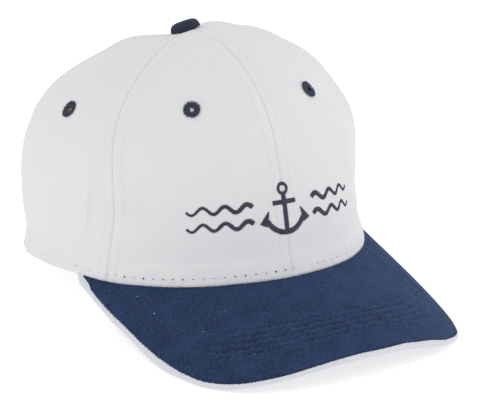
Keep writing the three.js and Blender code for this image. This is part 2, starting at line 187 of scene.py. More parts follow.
def hemZ(turn):
    t = fromFront(turn)
    step = 0.02
    endZ = peakZ(*rimPlan(peakEndTurn))
    slope = (endZ - peakZ(*rimPlan(peakEndTurn - step))) / step
    span = math.pi - peakEndTurn
    s = np.clip((t - peakEndTurn) / span, 0, 1)
    fall = endZ * (2 * s**3 - 3 * s**2 + 1)
    ease = span * slope * 0.5 * (s**3 - 2 * s**2 + s)
    free = fall + ease + hemForm["sideDip"] * np.sin(math.pi * s) ** 2
    return np.where(t < peakEndTurn, peakZ(*rimPlan(t)), free)


def hemUnderShift(turn, x, y):  # how much higher the peak is at a point inside the rim
    t = fromFront(turn)
    fade = 1 - smoothstep((t - peakEndTurn) / deg, hemForm["fadeStart"], hemForm["fadeEnd"])
    return fade * (peakZ(x, y) - peakZ(*rimPlan(t)))


def smoothCrown(turn, rise):
    turn, rise = np.broadcast_arrays(np.asarray(turn, float), np.asarray(rise, float))
    ux, uy = np.sin(turn), -np.cos(turn)
    reach, shoulder, baseZ = around("reach", turn), around("shoulder", turn), hemZ(turn)
    slope = poleForm["list"] * ux - poleForm["fall"] * uy
    topZ = poleForm["height"] + slope * shoulder + around("lift", turn)
    b0, b1 = (1 - rise) ** 3, 3 * rise * (1 - rise) ** 2
    b2, b3 = 3 * rise**2 * (1 - rise), rise**3
    z = b0 * baseZ + b1 * (baseZ + around("rise", turn)) + b2 * topZ + b3 * poleForm["height"]
    radius = b0 * reach + b1 * (reach + around("lean", turn)) + b2 * shoulder
    radius = radius + around("flare", turn) * bell(z - baseZ, hemForm["flareReach"])
    tilt = (poleForm["tiltSide"] * ux - poleForm["tiltBack"] * uy) * radius
    z = z + tilt * rise**4 * bell(radius, poleForm["tiltReach"])
    return np.stack([radius * ux, radius * uy, z], -1)


def outward(surface, turn, rise):
    step = 0.001
    along = surface(turn + step, rise) - surface(turn - step, rise)
    up = surface(turn, rise + step) - surface(turn, np.maximum(rise - step, 0))
    return unit(np.cross(along, up))


def dentHeight(turn, rise):
    t = fromFront(turn) / deg
    total = 0
    for dent in dents:
        reach = bell(t - dent["turn"], dent["turnReach"]) * bell(rise - dent["rise"], dent["riseReach"])
        total = total + dent["height"] * reach
    return total


def crown(turn, rise):  # the cloth's outer face, dents and all
    return smoothCrown(turn, rise) + outward(smoothCrown, turn, rise) * dentHeight(turn, rise)[..., None]


def seamTurn(name, rise):
    return eased(rise, seamRows["rise"], seamRows[name]) * deg


restTurn = Matrix.Translation((0, restForm["shift"] * mm, restForm["lift"] * mm)) @ Matrix.Rotation(
    -restForm["tilt"] * deg, 4, "X"
)


def laidDown(points):  # upright frame in mm to the floor's frame in metres, pressed flat where it touches
    flat = np.asarray(points, float).reshape(-1, 3) * mm
    turned = flat @ np.array(restTurn.to_3x3()).T + np.array(restTurn.translation)
    turned[:, 2] = np.maximum(turned[:, 2], 0)
    return turned


def arcLengths(points, axis):
    steps = np.linalg.norm(np.diff(points, axis=axis), axis=-1)
    zero = np.zeros_like(np.take(steps, [0], axis=axis))
    return np.cumsum(np.concatenate([zero, steps], axis=axis), axis=axis)


rimTurns = np.linspace(-math.pi, math.pi, 721)
rimArc = arcLengths(np.stack([*rimPlan(rimTurns), hemZ(rimTurns)], -1), 0)


def alongRim(turn):
    return np.interp(turn, rimTurns, rimArc)


# Camera and light
cameraForm = {  # in the cap's upright frame, mm and degrees
    "azimuth": -30.08, "elevation": 14.84, "roll": -1.42, "distance": 1094.2, "lens": 153.8,
    "aim": (0, -30, 38.17), "aimRight": 10.18,
}


def makeCamera():
    azimuth, elevation = cameraForm["azimuth"] * deg, cameraForm["elevation"] * deg
    level = math.cos(elevation)
    back = Vector((math.sin(azimuth) * level, -math.cos(azimuth) * level, math.sin(elevation)))
    right = Vector((math.cos(azimuth), math.sin(azimuth), 0))
    place = Vector(cameraForm["aim"]) + right * cameraForm["aimRight"] + back * cameraForm["distance"]
    frameOf = Matrix((right, back.cross(right), back)).transposed().to_4x4()
    turned = frameOf @ Matrix.Rotation(cameraForm["roll"] * deg, 4, "Z")
    bpy.ops.object.camera_add()
    camera = bpy.context.object
    camera.name = "camera"
    camera.matrix_world = restTurn @ Matrix.Translation(place * mm) @ turned
    camera.data.lens = cameraForm["lens"]
    camera.data.sensor_width = 36
    camera.data.sensor_fit = "HORIZONTAL"
    camera.data.clip_start = 0.05
    bpy.context.scene.camera = camera


lamps = (  # place and size in metres, aimed at the cap
    {"name": "keyLamp", "place": (-1.95, 0, 2.35), "size": 1.6, "power": 9.6},
    {"name": "sideLamp", "place": (2.3, -0.8, 0.8), "size": 1.5, "power": 10.5},
)


def makeLamps():
    for lamp in lamps:
        bpy.ops.object.light_add(type="AREA", location=lamp["place"])
        light = bpy.context.object
        light.name = lamp["name"]
        light.data.size = lamp["size"]
        light.data.energy = lamp["power"]
        light.rotation_euler = (Vector((0, 0, 0.05)) - light.location).to_track_quat("-Z", "Y").to_euler()


def makeWorld():
    world = bpy.data.worlds.new("studio")
    world.use_nodes = True
    world.node_tree.nodes["Background"].inputs["Color"].default_value = (1, 1, 1, 1)
    world.node_tree.nodes["Background"].inputs["Strength"].default_value = 1
    bpy.context.scene.world = world
    bpy.context.scene.view_settings.view_transform = "Standard"


def makeFloor():
    bpy.ops.mesh.primitive_plane_add(size=8, location=(0, 0, -0.1 * mm))
    floor = bpy.context.object
    floor.name = "floor"
    material, tree = newMaterial("paleFloor")
    setSurface(tree, {
        "Base Color": colour("BCBCBC"), "Roughness": 0.9, "Specular IOR Level": 0,
        "Emission Color": colour("FFFFFF"), "Emission Strength": 0.74,  # lit, so shadows stay pale
    })
    floor.data.materials.append(material)


# Materials

def colour(hexValue):  # sRGB hex to a linear colour
    parts = [int(hexValue[k : k + 2], 16) / 255 for k in (0, 2, 4)]
    return [p / 12.92 if p <= 0.04045 else ((p + 0.055) / 1.055) ** 2.4 for p in parts] + [1]


def put(tree, kind, values=None, **settings):  # adds a node with its settings, values and links
    node = tree.nodes.new("ShaderNode" + kind)
    for key, value in settings.items():
        setattr(node, key, value)
    for key, value in (values or {}).items():
        if isinstance(value, bpy.types.NodeSocket):
            tree.links.new(value, node.inputs[key])
        else:
            node.inputs[key].default_value = value
    return node


def newMaterial(name):
    material = bpy.data.materials.new(name)
    material.use_nodes = True
    tree = material.node_tree
    tree.nodes.clear()
    return material, tree


def setSurface(tree, values):
    surface = put(tree, "BsdfPrincipled", values)
    put(tree, "OutputMaterial", {"Surface": surface.outputs["BSDF"]})


# Cotton twill, woven with a diagonal rib and brushed: matt, with a soft bloom where it turns away.
# The UV map is in mm of cloth. Ribs are drawn coarser than the cloth's 0.5 mm, so that they show.
waveRepeat = 0.314  # period of a wave texture at scale 1
twillKinds = {
    "whiteTwill": {
        "light": "D6D6D8", "dark": "CECED1", "contrast": 0.14,
        "ribPitch": 1.2, "ribTurn": 14, "ribHeight": 0.025, "ribShare": 0.14,
        "nap": 0.025, "napScale": 1.6, "napShare": 0.8, "mottle": 0.06, "roughness": 0.9,
        "sheen": 0.04, "sheenTint": "FFFFFF",
    },
    "navyBrushed": {
        "light": "283B5B", "dark": "0F1A32", "contrast": 0.115,
        "ribPitch": 0.9, "ribTurn": 48, "ribHeight": 0.04, "ribShare": 0.1,
        "nap": 0.2, "napScale": 0.8, "napShare": 0.72, "mottle": 0.1, "roughness": 0.9,
        "sheen": 0.2, "sheenTint": "6C90D0",
    },
    "pipingCotton": {
        "light": "D0D1D6", "dark": "C2C4CA", "contrast": 0.14,
        "ribPitch": 0.8, "ribTurn": 20, "ribHeight": 0.06, "ribShare": 0.1,
        "nap": 0.07, "napScale": 1.8, "napShare": 0.75, "mottle": 0.3, "roughness": 0.9,
        "sheen": 0.04, "sheenTint": "FFFFFF",
    },
    "bandCotton": {
        "light": "EDEDEC", "dark": "DEDEDC", "contrast": 0.14,
        "ribPitch": 0.9, "ribTurn": 45, "ribHeight": 0.06, "ribShare": 0.1,
        "nap": 0.05, "napScale": 1.2, "napShare": 0.7, "mottle": 0.06, "roughness": 0.92,
        "sheen": 0.04, "sheenTint": "FFFFFF",
    },
    "buttonNavy": {
        "light": "363B4C", "dark": "252936", "contrast": 0.14,
        "ribPitch": 0.8, "ribTurn": 40, "ribHeight": 0.08, "ribShare": 0.1,
        "nap": 0.12, "napScale": 1.3, "napShare": 0.7, "mottle": 0.2, "roughness": 0.88,
        "sheen": 0.06, "sheenTint": "8C9CC0",
    },
}


def twill(name):
    kind = twillKinds[name]
    material, tree = newMaterial(name)
    cloth = put(tree, "UVMap")
    ribs = put(tree, "Mapping", {"Vector": cloth.outputs["UV"], "Rotation": (0, 0, kind["ribTurn"] * deg)})
    rib = put(
        tree, "TexWave",
        {"Vector": ribs.outputs["Vector"], "Scale": waveRepeat / kind["ribPitch"], "Distortion": 1.1,
         "Detail": 2, "Detail Scale": 1.4},
    )
    nap = put(
        tree, "TexNoise",
        {"Vector": cloth.outputs["UV"], "Scale": kind["napScale"], "Detail": 5, "Roughness": 0.7},
    )
    blotch = put(
        tree, "TexNoise",
        {"Vector": cloth.outputs["UV"], "Scale": kind["mottle"], "Detail": 4, "Roughness": 0.6},
    )
    grain = put(
        tree, "Mix",
        {"Factor": kind["napShare"], "A": blotch.outputs["Fac"], "B": nap.outputs["Fac"]},
        data_type="FLOAT",
    )
    low, high = 0.5 - kind["contrast"], 0.5 + kind["contrast"]
    spread = put(tree, "MapRange", {"Value": grain.outputs[0], "From Min": low, "From Max": high})
    ribbed = put(
        tree, "Mix",
        {"Factor": kind["ribShare"], "A": spread.outputs["Result"], "B": rib.outputs["Fac"]},
        data_type="FLOAT",
    )
    shade = put(
        tree, "Mix",
        {6: colour(kind["dark"]), 7: colour(kind["light"]), "Factor": ribbed.outputs[0]},
        data_type="RGBA",
    )
    raised = put(
        tree, "Bump",
        {"Height": rib.outputs["Fac"], "Distance": kind["ribHeight"] * mm, "Strength": 1},
    )
    rough = put(
        tree, "Bump",
        {"Height": nap.outputs["Fac"], "Distance": kind["nap"] * mm, "Strength": 1,
         "Normal": raised.outputs["Normal"]},
    )
    setSurface(tree, {
        "Base Color": shade.outputs[2], "Roughness": kind["roughness"], "Sheen Weight": kind["sheen"],
        "Sheen Roughness": 0.6, "Sheen Tint": colour(kind["sheenTint"]), "Specular IOR Level": 0.15,
        "Normal": rough.outputs["Normal"],
    })
    return material


# Spun polyester thread, laid in stitches: smoother than the cloth, with a low silky gloss. Some kinds
# below paint light or shade on small beads instead.
threadKinds = {
    "whiteThread": {"light": "DADADC", "dark": "CECED2", "roughness": 0.7},
    "navyThread": {"light": "29324C", "dark": "161C2E", "roughness": 0.55},
    "peakThread": {"light": "293B60", "dark": "192441", "roughness": 0.8},
    # painted highlight: lighter thread where light catches the peak's stitches
    "peakHighlight": {"light": "566E9E", "dark": "34466C", "roughness": 0.8},
    # painted shade in the peak's needle holes
    "peakShade": {"light": "1D2A49", "dark": "15203A", "roughness": 0.9},
    "deepShade": {"light": "141B2E", "dark": "0B101E", "roughness": 0.9},
    # painted shade in the crown's needle holes: dark, faint and pale
    "needleShade": {"light": "4A4548", "dark": "2C2A30", "roughness": 0.9},
    "fadedShade": {"light": "BCBCC0", "dark": "A6A6AC", "roughness": 0.9},
    "paleShade": {"light": "D0D0D3", "dark": "C8C8CC", "roughness": 0.9},
    # painted light: warm light seen through an eyelet's hole
    "warmHoleLight": {"light": "DDA884", "dark": "9C6242", "roughness": 0.8},
    "artThread": {"light": "443C56", "dark": "2A243A", "roughness": 0.5},
    "lint": {"light": "C9CFDA", "dark": "8E9AB2", "roughness": 0.9},
}


def thread(name):
    kind = threadKinds[name]
    material, tree = newMaterial(name)
    place = put(tree, "TexCoord")
    fibres = put(tree, "TexNoise", {"Vector": place.outputs["Object"], "Scale": 2600, "Detail": 2})
    patches = put(tree, "TexNoise", {"Vector": place.outputs["Object"], "Scale": 180, "Detail": 3})
    shade = put(
        tree, "Mix",
        {6: colour(kind["dark"]), 7: colour(kind["light"]), "Factor": patches.outputs["Fac"]},
        data_type="RGBA",
    )
    rough = put(tree, "Bump", {"Height": fibres.outputs["Fac"], "Distance": 0.05 * mm, "Strength": 0.6})
    setSurface(tree, {
        "Base Color": shade.outputs[2], "Roughness": kind["roughness"], "Specular IOR Level": 0.35,
        "Sheen Weight": 0.1, "Normal": rough.outputs["Normal"],
    })
    return material


materials = {name: twill(name) for name in twillKinds}
materials.update({name: thread(name) for name in threadKinds})
makeCamera()
makeLamps()
makeWorld()
makeFloor()
print("camera, light and materials made")


# Making pieces

def choose(piece, *others):  # selects pieces, with the first one active
    bpy.ops.object.select_all(action="DESELECT")
    for each in (piece, *others):
        each.select_set(True)
    bpy.context.view_layer.objects.active = piece


def applyModifier(piece, kind, **settings):
    choose(piece)
    modifier = piece.modifiers.new(kind.lower(), kind)
    for key, value in settings.items():
        setattr(modifier, key, value)
    bpy.ops.object.modifier_apply(modifier=modifier.name)


def setPoints(piece, points):
    piece.data.vertices.foreach_set("co", np.asarray(points, float).ravel())
    piece.data.update()


def getPoints(piece):
    flat = np.empty(len(piece.data.vertices) * 3)
    piece.data.vertices.foreach_get("co", flat)
    return flat.reshape(-1, 3)


def setCloth(piece, cloth):  # the UV map, from each vertex's place on the cloth in mm
    corner = np.empty(len(piece.data.loops), int)
    piece.data.loops.foreach_get("vertex_index", corner)
    piece.data.uv_layers[0].data.foreach_set("uv", cloth[corner].ravel())


def clothGrid(name, points, cloth):  # a grid primitive whose corners go to points[i, j], with UVs in mm
    columns, rows = points.shape[:2]
    bpy.ops.mesh.primitive_grid_add(x_subdivisions=columns - 1, y_subdivisions=rows - 1, size=2)
    piece = bpy.context.object
    piece.name = piece.data.name = name
    flat = getPoints(piece)
    i = np.rint((flat[:, 0] + 1) / 2 * (columns - 1)).astype(int)
    j = np.rint((flat[:, 1] + 1) / 2 * (rows - 1)).astype(int)
    setPoints(piece, laidDown(points[i, j]))
    setCloth(piece, cloth[i, j])
    return piece, i, j


def clothWall(name, outer, inner, cloth):  # a closed wall of cloth between two grids of points
    piece, i, j = clothGrid(name, outer, cloth)
    count = len(piece.data.vertices)
    applyModifier(piece, "SOLIDIFY", thickness=mm, offset=-1)
    points = getPoints(piece)
    points[count:] = laidDown(inner[i, j])
    setPoints(piece, points)
    return piece


def finishPiece(piece, material, node=None, angle=50):
    choose(piece)
    bpy.ops.object.shade_smooth_by_angle(angle=angle * deg)
    piece.data.materials.clear()
    piece.data.materials.append(materials[material])
    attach(piece, "root")
    if node:
        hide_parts(node)


# Crown panels
panelForm = {
    "wall": 1.7,
    "hemReach": 1.5,  # the cloth's two faces end level within this of the hem
    "edgeStep": 0.0042,  # columns close to the seams, as a share of the panel's width
    "edgeShare": 0.11,
    "middleStep": 0.0155,
    "hemRows": 7,  # height of the closer rows in the hem, mm
    "hemStep": 0.4,
    "rowStep": 0.98,
    "samples": 600,
    "eyeletHole": 2.5,
    "seamClear": 0.05,
}
sewing = {  # relief of the sewn cloth, mm; a pair holds the ends of a ramp
    "grooveDepth": 0.34, "grooveWidth": 0.5,
    "allowanceLift": 0.1, "allowanceFrom": (0.3, 1.5), "allowanceTo": (5.1, 6.9),
    "topstitch": 5.2, "topstitchPitch": 3.1, "dip": 0.035, "dipWidth": 0.55,
    "pucker": 0.07, "puckerPitch": 8, "puckerFrom": (0.5, 2.2), "puckerTo": (6, 11),
    "fullRow": (12, 34),  # fainter where the panel is narrower than this
    "hemLift": 0.3, "hemTo": (9.2, 11.5), "hemRound": 0.45, "hemRoundReach": 0.5,
    "rimStitch": 4.0, "rimPitch": 5.3, "rimDip": 0.03, "rimDipWidth": 0.6,
    "rimPucker": 0.2, "rimPuckerFrom": (0.2, 1.2), "rimPuckerTo": (3, 5.5),
    "softPucker": 0.12, "softFrom": (3.5, 6), "softTo": (8, 16), "softPitch": 7,
    "unevenness": 0.3, "unevennessReach": 9, "wideRow": (15, 50),
}
fold = {  # a small upright fold on the wearer's right
    "rise": (0.078, 0.12, 0.175, 0.232), "turn": (-68.6, -68.4, -66.7, -65.2),
    "from": (0.06, 0.11), "to": (0.2, 0.27), "radius": 92,
    "height": 1.3, "width": 0.9, "farWidth": 2.4,
}
panelTable = (
    {"place": "front", "from": "front", "to": "side", "flat": (0.108, 0.158), "area": 0.0118},
    {"place": "side", "from": "side", "to": "rear", "flat": (0.100, 0.160), "area": 0.0118},
    {"place": "back", "from": "rear", "to": "back", "flat": (0.105, 0.158), "area": 0.0118},
)
eyelets = {"front": (28.4, 0.466), "side": (82.8, 0.449), "back": (150, 0.462)}


def stitchBeat(along, pitch):  # 1 at the middle of a stitch and half that between two
    return 0.75 + 0.25 * np.cos(fullTurn * along / pitch)


def seamRelief(away, along, rowLength, seed):
    groove = -sewing["grooveDepth"] * bell(away, sewing["grooveWidth"])
    lift = sewing["allowanceLift"] * between(away, sewing["allowanceFrom"], sewing["allowanceTo"])
    beat = stitchBeat(along, sewing["topstitchPitch"])
    dip = -sewing["dip"] * bell(away - sewing["topstitch"], sewing["dipWidth"]) * beat
    waves = unevenness(fullTurn * along / sewing["puckerPitch"], away * 0.3, seed)
    pucker = sewing["pucker"] * waves * between(away, sewing["puckerFrom"], sewing["puckerTo"])
    return groove + (lift + dip + pucker) * smoothstep(rowLength, *sewing["fullRow"])


def hemRelief(up, along):
    turnedIn = sewing["hemLift"] * (1 - smoothstep(up, *sewing["hemTo"]))
    edge = -sewing["hemRound"] * bell(up, sewing["hemRoundReach"])
    beat = stitchBeat(along, sewing["rimPitch"])
    dip = -sewing["rimDip"] * bell(up - sewing["rimStitch"], sewing["rimDipWidth"]) * beat
    wave = np.cos(fullTurn * along / sewing["rimPitch"])
    uneven = unevenness(fullTurn * along / sewing["softPitch"], up * 0.5, 5)
    below = between(up, sewing["rimPuckerFrom"], sewing["rimPuckerTo"])
    pucker = sewing["rimPucker"] * (0.6 * wave + 0.8 * uneven) * below
    soft = sewing["softPucker"] * uneven * between(up, sewing["softFrom"], sewing["softTo"])
    return turnedIn + edge + dip + pucker + soft


def foldRelief(turn, rise):
    middle = np.interp(rise, fold["rise"], fold["turn"]) * deg
    away = (turn - middle) * fold["radius"]
    ridge = bell(away, np.where(away < 0, fold["width"], fold["farWidth"]))
    return fold["height"] * ridge * between(rise, fold["from"], fold["to"])


def panelShares():
    edge = np.arange(0, panelForm["edgeShare"], panelForm["edgeStep"])
    count = round((1 - 2 * panelForm["edgeShare"]) / panelForm["middleStep"])
    middle = np.linspace(panelForm["edgeShare"], 1 - panelForm["edgeShare"], count + 1)
    return np.concatenate([edge, middle, 1 - edge[::-1]])


def panelRises(turn):  # rows close together in the hem, then evenly up to the button
    rises = np.linspace(0, poleForm["topRise"], panelForm["samples"])
    height = arcLengths(crown(np.full(rises.shape, turn), rises), 0)
    hemTop = panelForm["hemRows"]
    hem = np.arange(0, hemTop, panelForm["hemStep"])
    count = round((height[-1] - hemTop) / panelForm["rowStep"])
    return np.interp(np.concatenate([hem, np.linspace(hemTop, height[-1], count)]), height, rises)


def panelSurface(hand, panel):
    sign = 1 if hand == "left" else -1

    def seam(name, rise):
        return seamTurn(name, rise) * (1 if name == "front" else sign)

    rises = panelRises(sign * eyelets[panel["place"]][0] * deg)
    start, end = seam(panel["from"], rises), seam(panel["to"], rises)
    if sign < 0:
        start, end = end, start
    radius = np.linalg.norm(smoothCrown((start + end) / 2, rises)[:, :2], axis=-1)
    clear = panelForm["seamClear"] / radius
    shares = panelShares()[:, None]
    turn = start + clear + (end - start - 2 * clear) * shares
    rise = np.broadcast_to(rises, turn.shape)
    points = crown(turn, rise)
    normals = outward(crown, turn, rise)
    across, up = arcLengths(points, 0), arcLengths(points, 1)
    width = across[-1]
    along = alongRim(turn)
    names = (panel["from"], panel["to"]) if sign > 0 else (panel["to"], panel["from"])
    seed = {"front": 11, "side": 12, "rear": 13, "back": 14}
    relief = hemRelief(up, along)
    for away, name in zip((across, width - across), names):
        relief = relief + seamRelief(away, up, width, seed[name])
    reach = sewing["unevennessReach"]
    soft = unevenness(along / reach, up / reach, 3) * smoothstep(width, *sewing["wideRow"])
    relief = relief + sewing["unevenness"] * soft
    if hand == "right" and panel["place"] == "side":
        relief = relief + foldRelief(turn, rise)
    return {
        "turn": turn, "points": points, "normals": normals, "across": across, "up": up, "width": width,
        "sewn": points + normals * relief[..., None], "cloth": np.stack([across - width / 2, up], -1),
    }


def eyeletStand(place, hand):  # matrix that stands a piece where an eyelet is, its Z outwards
    turn, rise = eyelets[place]
    at = np.array(turn * deg * (1 if hand == "left" else -1)), np.array(rise)
    standing = Vector(outward(crown, *at)).to_track_quat("Z", "Y").to_matrix().to_4x4()
    return restTurn @ Matrix.Translation(Vector(crown(*at)) * mm) @ standing


def makePanel(hand, panel):
    surface = panelSurface(hand, panel)
    name = f"{panel['place']}_panel_{hand}"
    points = surface["points"]
    inner = points - surface["normals"] * panelForm["wall"]
    shift = hemUnderShift(surface["turn"], inner[..., 0], inner[..., 1])
    inner[..., 2] += (points[..., 2] - inner[..., 2] + shift) * bell(surface["up"], panelForm["hemReach"])
    piece = clothWall("cloth_" + name, surface["sewn"], inner, surface["cloth"])
    bpy.ops.mesh.primitive_cylinder_add(vertices=32, radius=panelForm["eyeletHole"] * mm, depth=8 * mm)
    cutter = bpy.context.object
    cutter.data.transform(eyeletStand(panel["place"], hand))
    applyModifier(piece, "BOOLEAN", object=cutter, operation="DIFFERENCE", solver="MANIFOLD")
    bpy.data.objects.remove(cutter)
    finishPiece(piece, "whiteTwill", name)
    return surface


surfaces = {}
for hand in ("right", "left"):
    for panel in panelTable:
        surfaces[panel["place"], hand] = makePanel(hand, panel)
print("crown panels made")


# Stitches: one small bead of thread, copied along each row into one mesh
def beadShape():
    bpy.ops.mesh.primitive_uv_sphere_add(segments=6, ring_count=5, radius=1)
    bead = bpy.context.object
    points = getPoints(bead)[:, [2, 0, 1]]  # the poles lie along the thread
    faces = [tuple(face.vertices) for face in bead.data.polygons]
    bpy.data.objects.remove(bead)
    return points, faces


beadPoints, beadFaces = beadShape()


def beads(name, centres, alongs, normals, sizes, material):  # sizes are half lengths, mm
    alongs = unit(alongs)
    sides = unit(np.cross(normals, alongs))
    frames = np.stack([alongs, sides, np.cross(alongs, sides)], 1) * sizes[:, :, None]
    points = centres[:, None, :] + np.einsum("kf,nfc->nkc", beadPoints, frames)
    firsts = range(0, len(centres) * len(beadPoints), len(beadPoints))
    faces = [tuple(v + first for v in face) for first in firsts for face in beadFaces]
    mesh = bpy.data.meshes.new(name)
    mesh.from_pydata(laidDown(points).tolist(), [], faces)
    piece = bpy.data.objects.new(name, mesh)
    bpy.context.scene.collection.objects.link(piece)
    finishPiece(piece, material, angle=80)


def pick(mark, marks, vectors):  # vectors between those given at these marks
    return np.stack([np.interp(mark, marks, vectors[:, k]) for k in range(3)], -1)


def placed(path, normals, marks):  # places at these distances along a path, with their directions
    length = arcLengths(path, 0)
    along = pick(marks + 0.2, length, path) - pick(marks - 0.2, length, path)
    return pick(marks, length, path), along, unit(pick(marks, length, normals))


def paced(path, normals, pitch, start=0):  # places every pitch mm
    return placed(path, normals, np.arange(start, arcLengths(path, 0)[-1], pitch))


def scattered(path, normals, low, high):  # places at uneven distances
    marks, end = [], arcLengths(path, 0)[-1]
    mark = draw.uniform(low, high)
    while mark < end:
        marks.append(mark)
        mark += draw.uniform(low, high)
    return placed(path, normals, np.array(marks))


def together(rows):  # joins each part of the rows into one array
    return [np.concatenate(part) for part in zip(*rows)]


def settled(places, normals, cloud):  # moves places along their normals onto a sewn surface
    nearest = np.array([cloud[np.argmin(((cloud - place) ** 2).sum(1))] for place in places])
    return places + normals * ((nearest - places) * normals).sum(1, keepdims=True)


def pathAcross(surface, away, fromEnd):  # line at a distance from a seam, up the panel
    across = surface["width"] - surface["across"] if fromEnd else surface["across"]
    order = -1 if fromEnd else 1
    rows = np.nonzero(surface["width"] > 2 * away + 3)[0]
    rows = rows[surface["up"][0, rows] > sewing["rimStitch"] + 1]
    return [
        np.array([pick(away, across[::order, j], surface[part][::order, j]) for j in rows])
        for part in ("sewn", "normals")
    ]


def pathUp(surface, height):  # line at a height above the hem, along the panel
    return [
        np.array([pick(height, up, vectors) for up, vectors in zip(surface["up"], surface[part])])
        for part in ("sewn", "normals")
    ]


draw = random.Random(7)
stitchForm = {  # half length, width and height of the beads in mm, and how far these vary
    "topstitch": (1.2, 0.22, 0.08), "needleMark": (0.16, 0.14, 0.06, 0.5),
    "rimStitch": (1.9, 0.24, 0.06), "rimHoleHeight": 0.14, "rimHoleVary": 0.55,
    "rimHoleRows": (("dark", "needleShade", -74, -0.5, 0.42), ("faint", "fadedShade", -0.5, 73, 0.4)),
    "thinTo": -57,  # only every second hole in the rim shows before this turn
    "fuzz": (0.4, 0.1, 0.1, 0.5), "fuzzUp": 0.15, "fuzzGap": (0.9, 3.4),
    "fuzzOut": 0.4, "fuzzDown": (0, 0, 0.7), "fuzzSeat": (0, 0, 0.1),
}


def randomSizes(count, length, width, height, spread=0.12):
    half = (length, width, height)
    return np.array([[size * draw.uniform(1 - spread, 1 + spread) for size in half] for n in range(count)])


topstitches = []
for surface in surfaces.values():
    for fromEnd in (False, True):
        path, normals = pathAcross(surface, sewing["topstitch"], fromEnd)
        topstitches.append(paced(path, normals, sewing["topstitchPitch"]))
at, along, normal = together(topstitches)
beads("crown_topstitch", at + normal * 0.02, along, normal,
      randomSizes(len(at), *stitchForm["topstitch"]), "whiteThread")
# Pale beads between the topstitches: painted shade in the needle holes.
holeAt = at + unit(along) * sewing["topstitchPitch"] / 2
beads("crown_needle_marks", holeAt + normal * 0.02, along, normal,
      randomSizes(len(at), *stitchForm["needleMark"]), "paleShade")

rimPath = [pathUp(surfaces[place, "right"], sewing["rimStitch"]) for place in ("back", "side", "front")]
rimPath += [pathUp(surfaces[place, "left"], sewing["rimStitch"]) for place in ("front", "side", "back")]
path, normals = together(rimPath)
at, along, normal = paced(path, normals, sewing["rimPitch"], 1)
beads("rim_stitches", at + normal * 0.03, along, normal,
      randomSizes(len(at), *stitchForm["rimStitch"]), "whiteThread")
# Dark and faint beads between the rim stitches: painted shade in the needle holes.
at, along, normal = paced(path, normals, sewing["rimPitch"], 1 + sewing["rimPitch"] / 2)
holeTurn = np.arctan2(at[:, 0], -at[:, 1]) / deg
for name, shade, low, high, size in stitchForm["rimHoleRows"]:  # between two turns
    chosen = (holeTurn > low) & (holeTurn < high)
    chosen = chosen & ((holeTurn > stitchForm["thinTo"]) | (np.arange(len(at)) % 2 == 0))
    sizes = randomSizes(chosen.sum(), size, size, stitchForm["rimHoleHeight"], stitchForm["rimHoleVary"])
    beads(f"rim_needle_holes_{name}", (at + normal * 0.1)[chosen], along[chosen], normal[chosen],
          sizes, shade)

fuzzUp = stitchForm["fuzzUp"]
path, normals = together([pathUp(surfaces["front", hand], fuzzUp) for hand in ("right", "left")])
at, along, normal = scattered(path, normals, *stitchForm["fuzzGap"])
falling = unit(along) * [[draw.uniform(-1, 1)] for n in range(len(at))]
falling = falling + normal * stitchForm["fuzzOut"] - stitchForm["fuzzDown"]
beads("hem_fuzz", at + normal * fuzzUp - stitchForm["fuzzSeat"], falling, np.cross(falling, along),
      randomSizes(len(at), *stitchForm["fuzz"]), "whiteThread")
print("stitches made")


# Eyelets: satin thread laid over a ring, round a hole
eyeletForm = {  # mm
    "bore": {"front": 1.25, "side": 1.95, "back": 1.4}, "threads": 36, "threadWidth": 0.66, "proud": 0.42,
    "sides": ({"outer": 4.65, "height": 0.6}, {"outer": 3.5, "height": -2.2}), "tall": 1.07,
    "ring": ((1.7, 0.45), (2.3, 0.75), (3.2, 0.7), (3.8, 0.35), (3.6, 0.12), (2.2, 0.12), (2.2, -1.9),
             (3.3, -1.9), (3.2, -2.25), (2.3, -2.4), (1.7, -2.1)),  # outline of the ring under the threads
    # pale and warm fibres across the holes of the wearer's right front and side eyelets: painted light
    # seen through the hole, over a little fray
    "fray_and_hole_light": {("front", "right"): "whiteThread", ("side", "right"): "warmHoleLight"},
    "fibres": 14, "fibre": (0.55, 0.2, 0.16, 0.3), "fibreReach": 0.7, "fibreDepth": (-0.2, 0.4),
}


def ringUnder(name, stand):  # the padded ring under the threads, with its neck through the cloth
    outline = eyeletForm["ring"]
    bpy.ops.mesh.primitive_circle_add(vertices=len(outline), radius=mm)
    ring = bpy.context.object
    ring.name = ring.data.name = name
    setPoints(ring, [(radius * mm, 0, height * mm) for radius, height in outline])
    bpy.ops.object.mode_set(mode="EDIT")
    bpy.ops.mesh.select_all(action="SELECT")
    bpy.ops.mesh.spin(steps=40, angle=fullTurn, center=(0, 0, 0), axis=(0, 0, 1))
    bpy.ops.mesh.select_all(action="SELECT")
    bpy.ops.mesh.remove_doubles(threshold=0.01 * mm)
    bpy.ops.mesh.normals_make_consistent(inside=False)
    bpy.ops.object.mode_set(mode="OBJECT")
    ring.data.transform(stand)
    return ring


